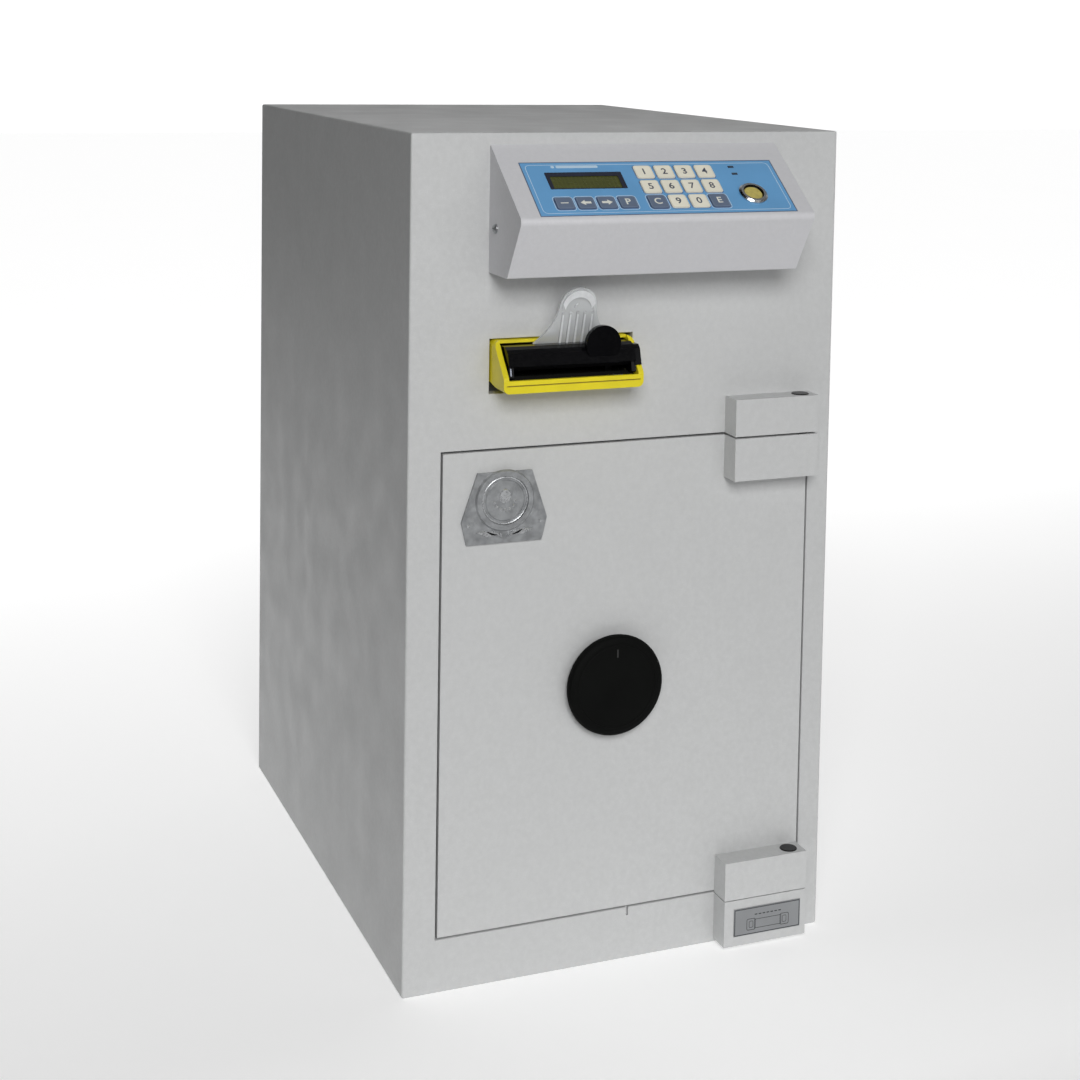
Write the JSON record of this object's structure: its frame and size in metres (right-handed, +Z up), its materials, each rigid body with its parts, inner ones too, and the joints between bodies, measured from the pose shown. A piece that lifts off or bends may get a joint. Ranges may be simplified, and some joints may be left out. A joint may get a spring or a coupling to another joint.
{
  "type": "cash deposit safe",
  "caption": "Steel cash deposit safe with keypad console, banknote acceptor, hinged vault door, turning knob and sliding locking bolts.",
  "frame": {"origin": "centre of the cabinet's footprint, on the floor", "axes": "+Z up, the front faces -Y, +X to the right seen from the front"},
  "size_m": [0.38, 0.5988, 0.7],
  "materials": {
    "cabinet_paint": "fine-textured light grey powder coat",
    "door_paint": "fine-textured light grey powder coat",
    "console_paint": "smooth light grey paint",
    "cassette_paint": "blue-grey powder coat",
    "zinc_steel": "zinc-plated",
    "bright_steel": "ground and polished",
    "dark_steel": "dark satin paint",
    "blackened_steel": "blackened and oiled",
    "plate_aluminium": "satin etched plate",
    "cast_badge": "cast, worn satin",
    "bush_brass": "turned",
    "contact_gold": "gold-plated, satin",
    "black_gloss": "gloss moulded",
    "smoked_plastic": "smoked, gloss moulded",
    "clear_plastic": "clear moulded plastic",
    "yellow_plastic": "satin moulded",
    "knob_black": "satin moulded",
    "roller_rubber": "ground rubber",
    "overlay_blue": "printed film",
    "lcd_glass": "green display under a clear lens",
    "board_green": "circuit board",
    "light_dark": "unlit lamp lens",
    "key_ivory": "embossed film key",
    "key_slate": "embossed film key"
  },
  "bodies": {
    "cabinet": {"front_frame": "cabinet_paint", "left_wall": "cabinet_paint", "right_wall": "cabinet_paint", "top_plate": "cabinet_paint", "back_plate": "cabinet_paint", "floor_plate": "cabinet_paint", "vault_shelf": "cabinet_paint", "rear_cover": "cabinet_paint", "upper_hinge_block": "cabinet_paint", "lower_hinge_block": "cabinet_paint", "console_housing": "console_paint", "cash_cassette": "cassette_paint", "cover_screws": "zinc_steel", "console_bracket": "zinc_steel", "reader_socket": "bright_steel", "acceptor_chassis": "dark_steel", "hinge_pins": "blackened_steel", "rating_plate": "plate_aluminium", "reader_contact": "contact_gold", "mouth_upper": "black_gloss", "mouth_lip": "smoked_plastic", "note_guide_fin": "clear_plastic", "acceptor_bezel": "yellow_plastic", "cable_gland": "knob_black", "keypad_overlay": "overlay_blue", "lcd_window": "lcd_glass", "lcd_module": "board_green", "keypad_board": "board_green", "status_lights": "light_dark"},
    "door": {"door_panel": "door_paint", "door_hinge_knuckles": "door_paint", "bolt_guides": "zinc_steel", "spindle_bush": "bush_brass", "badge": "cast_badge", "dog_bar": "dark_steel", "boltwork_cover": "door_paint", "lock_case": "dark_steel"},
    "knob": {"door_knob": "knob_black", "knob_spindle": "bright_steel", "crank_disc": "zinc_steel"},
    "bolts": {"bolt_bar": "zinc_steel", "locking_bolts": "bright_steel"},
    "feed": {"feed_roller": "roller_rubber"},
    "idler": {"idler_roller": "roller_rubber"},
    "key_1": {"key_1": "key_ivory"},
    "key_2": {"key_2": "key_ivory"},
    "key_3": {"key_3": "key_ivory"},
    "key_4": {"key_4": "key_ivory"},
    "key_5": {"key_5": "key_ivory"},
    "key_6": {"key_6": "key_ivory"},
    "key_7": {"key_7": "key_ivory"},
    "key_8": {"key_8": "key_ivory"},
    "key_c": {"key_c": "key_slate"},
    "key_9": {"key_9": "key_ivory"},
    "key_0": {"key_0": "key_ivory"},
    "key_e": {"key_e": "key_slate"},
    "key_blank": {"key_blank": "key_slate"},
    "key_left": {"key_left": "key_slate"},
    "key_right": {"key_right": "key_slate"},
    "key_p": {"key_p": "key_slate"}
  },
  "joints": [
    {"name": "door_swing", "type": "hinge", "parent": "cabinet", "child": "door", "pos_m": [0.1545, -0.2705, 0], "axis": [0, 0, 1], "range_deg": [0, 120]},
    {"name": "knob_turn", "type": "hinge", "parent": "door", "child": "knob", "pos_m": [-0.0115, -0.26, 0.2414], "axis": [0, -1, 0], "range_deg": [0, 90]},
    {"name": "bolt_throw", "type": "slide", "parent": "door", "child": "bolts", "axis": [-1, 0, 0], "range_m": [0, 0.0212]},
    {"name": "feed_spin", "type": "hinge", "parent": "cabinet", "child": "feed", "pos_m": [-0.0644, -0.22, 0.4982], "axis": [-1, 0, 0], "continuous": true},
    {"name": "idler_spin", "type": "hinge", "parent": "cabinet", "child": "idler", "pos_m": [-0.0644, -0.22, 0.5175], "axis": [-1, 0, 0], "continuous": true},
    {"name": "key_1_press", "type": "slide", "parent": "cabinet", "child": "key_1", "axis": [0, 0.5884, -0.8086], "range_m": [0, 0.0008], "stiffness_N_per_m": 1200, "springref_m": -0.0006},
    {"name": "key_2_press", "type": "slide", "parent": "cabinet", "child": "key_2", "axis": [0, 0.5884, -0.8086], "range_m": [0, 0.0008], "stiffness_N_per_m": 1200, "springref_m": -0.0006},
    {"name": "key_3_press", "type": "slide", "parent": "cabinet", "child": "key_3", "axis": [0, 0.5884, -0.8086], "range_m": [0, 0.0008], "stiffness_N_per_m": 1200, "springref_m": -0.0006},
    {"name": "key_4_press", "type": "slide", "parent": "cabinet", "child": "key_4", "axis": [0, 0.5884, -0.8086], "range_m": [0, 0.0008], "stiffness_N_per_m": 1200, "springref_m": -0.0006},
    {"name": "key_5_press", "type": "slide", "parent": "cabinet", "child": "key_5", "axis": [0, 0.5884, -0.8086], "range_m": [0, 0.0008], "stiffness_N_per_m": 1200, "springref_m": -0.0006},
    {"name": "key_6_press", "type": "slide", "parent": "cabinet", "child": "key_6", "axis": [0, 0.5884, -0.8086], "range_m": [0, 0.0008], "stiffness_N_per_m": 1200, "springref_m": -0.0006},
    {"name": "key_7_press", "type": "slide", "parent": "cabinet", "child": "key_7", "axis": [0, 0.5884, -0.8086], "range_m": [0, 0.0008], "stiffness_N_per_m": 1200, "springref_m": -0.0006},
    {"name": "key_8_press", "type": "slide", "parent": "cabinet", "child": "key_8", "axis": [0, 0.5884, -0.8086], "range_m": [0, 0.0008], "stiffness_N_per_m": 1200, "springref_m": -0.0006},
    {"name": "key_c_press", "type": "slide", "parent": "cabinet", "child": "key_c", "axis": [0, 0.5884, -0.8086], "range_m": [0, 0.0008], "stiffness_N_per_m": 1200, "springref_m": -0.0006},
    {"name": "key_9_press", "type": "slide", "parent": "cabinet", "child": "key_9", "axis": [0, 0.5884, -0.8086], "range_m": [0, 0.0008], "stiffness_N_per_m": 1200, "springref_m": -0.0006},
    {"name": "key_0_press", "type": "slide", "parent": "cabinet", "child": "key_0", "axis": [0, 0.5884, -0.8086], "range_m": [0, 0.0008], "stiffness_N_per_m": 1200, "springref_m": -0.0006},
    {"name": "key_e_press", "type": "slide", "parent": "cabinet", "child": "key_e", "axis": [0, 0.5884, -0.8086], "range_m": [0, 0.0008], "stiffness_N_per_m": 1200, "springref_m": -0.0006},
    {"name": "key_blank_press", "type": "slide", "parent": "cabinet", "child": "key_blank", "axis": [0, 0.5884, -0.8086], "range_m": [0, 0.0008], "stiffness_N_per_m": 1200, "springref_m": -0.0006},
    {"name": "key_left_press", "type": "slide", "parent": "cabinet", "child": "key_left", "axis": [0, 0.5884, -0.8086], "range_m": [0, 0.0008], "stiffness_N_per_m": 1200, "springref_m": -0.0006},
    {"name": "key_right_press", "type": "slide", "parent": "cabinet", "child": "key_right", "axis": [0, 0.5884, -0.8086], "range_m": [0, 0.0008], "stiffness_N_per_m": 1200, "springref_m": -0.0006},
    {"name": "key_p_press", "type": "slide", "parent": "cabinet", "child": "key_p", "axis": [0, 0.5884, -0.8086], "range_m": [0, 0.0008], "stiffness_N_per_m": 1200, "springref_m": -0.0006}
  ],
  "couplings": [
    {"joint": "knob_turn", "follows": "bolt_throw", "rad_per_m": 74.05},
    {"joint": "idler_spin", "follows": "feed_spin", "ratio": -1.2353}
  ]
}
